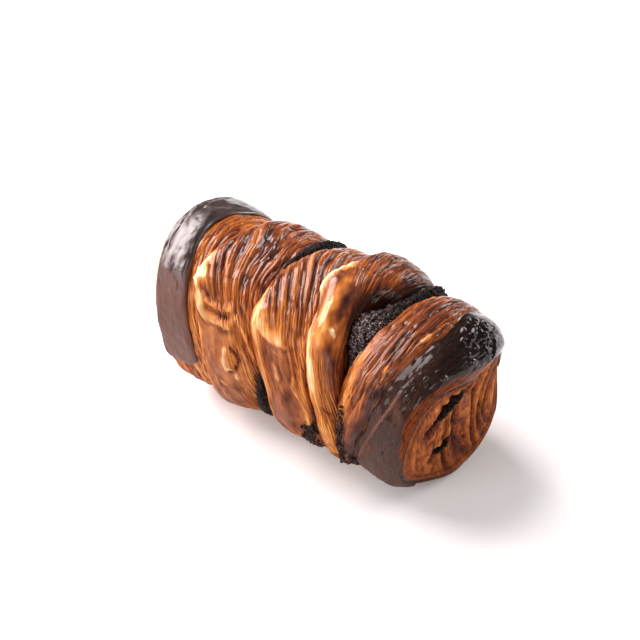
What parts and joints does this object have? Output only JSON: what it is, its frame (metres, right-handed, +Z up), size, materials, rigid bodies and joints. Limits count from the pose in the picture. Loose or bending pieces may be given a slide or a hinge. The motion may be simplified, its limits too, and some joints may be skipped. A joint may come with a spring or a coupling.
{
  "type": "chocolate hazelnut pastry",
  "caption": "Small tin-baked twist loaf of laminated dough, with overlapping lobes, a cocoa band over each end, and chocolate hazelnut filling in its creases.",
  "frame": {"origin": "under the middle of the loaf, on the surface it stands on", "axes": "+X along the loaf to its right end, +Y to the back, +Z up"},
  "size_m": [0.1312, 0.0746, 0.0714],
  "materials": {
    "dough": "glazed crust, reddish brown with paler edges",
    "cocoa": "glossy dark cocoa dough",
    "filling": "granular, nearly black"
  },
  "bodies": {
    "root": {"dough": "dough", "cocoa_band_left": "cocoa", "cocoa_band_right": "cocoa", "filling_main": "filling", "filling_top": "filling", "filling_front": "filling", "filling_foot": "filling", "filling_face_upper": "filling", "filling_face_lower": "filling"}
  },
  "joints": []
}
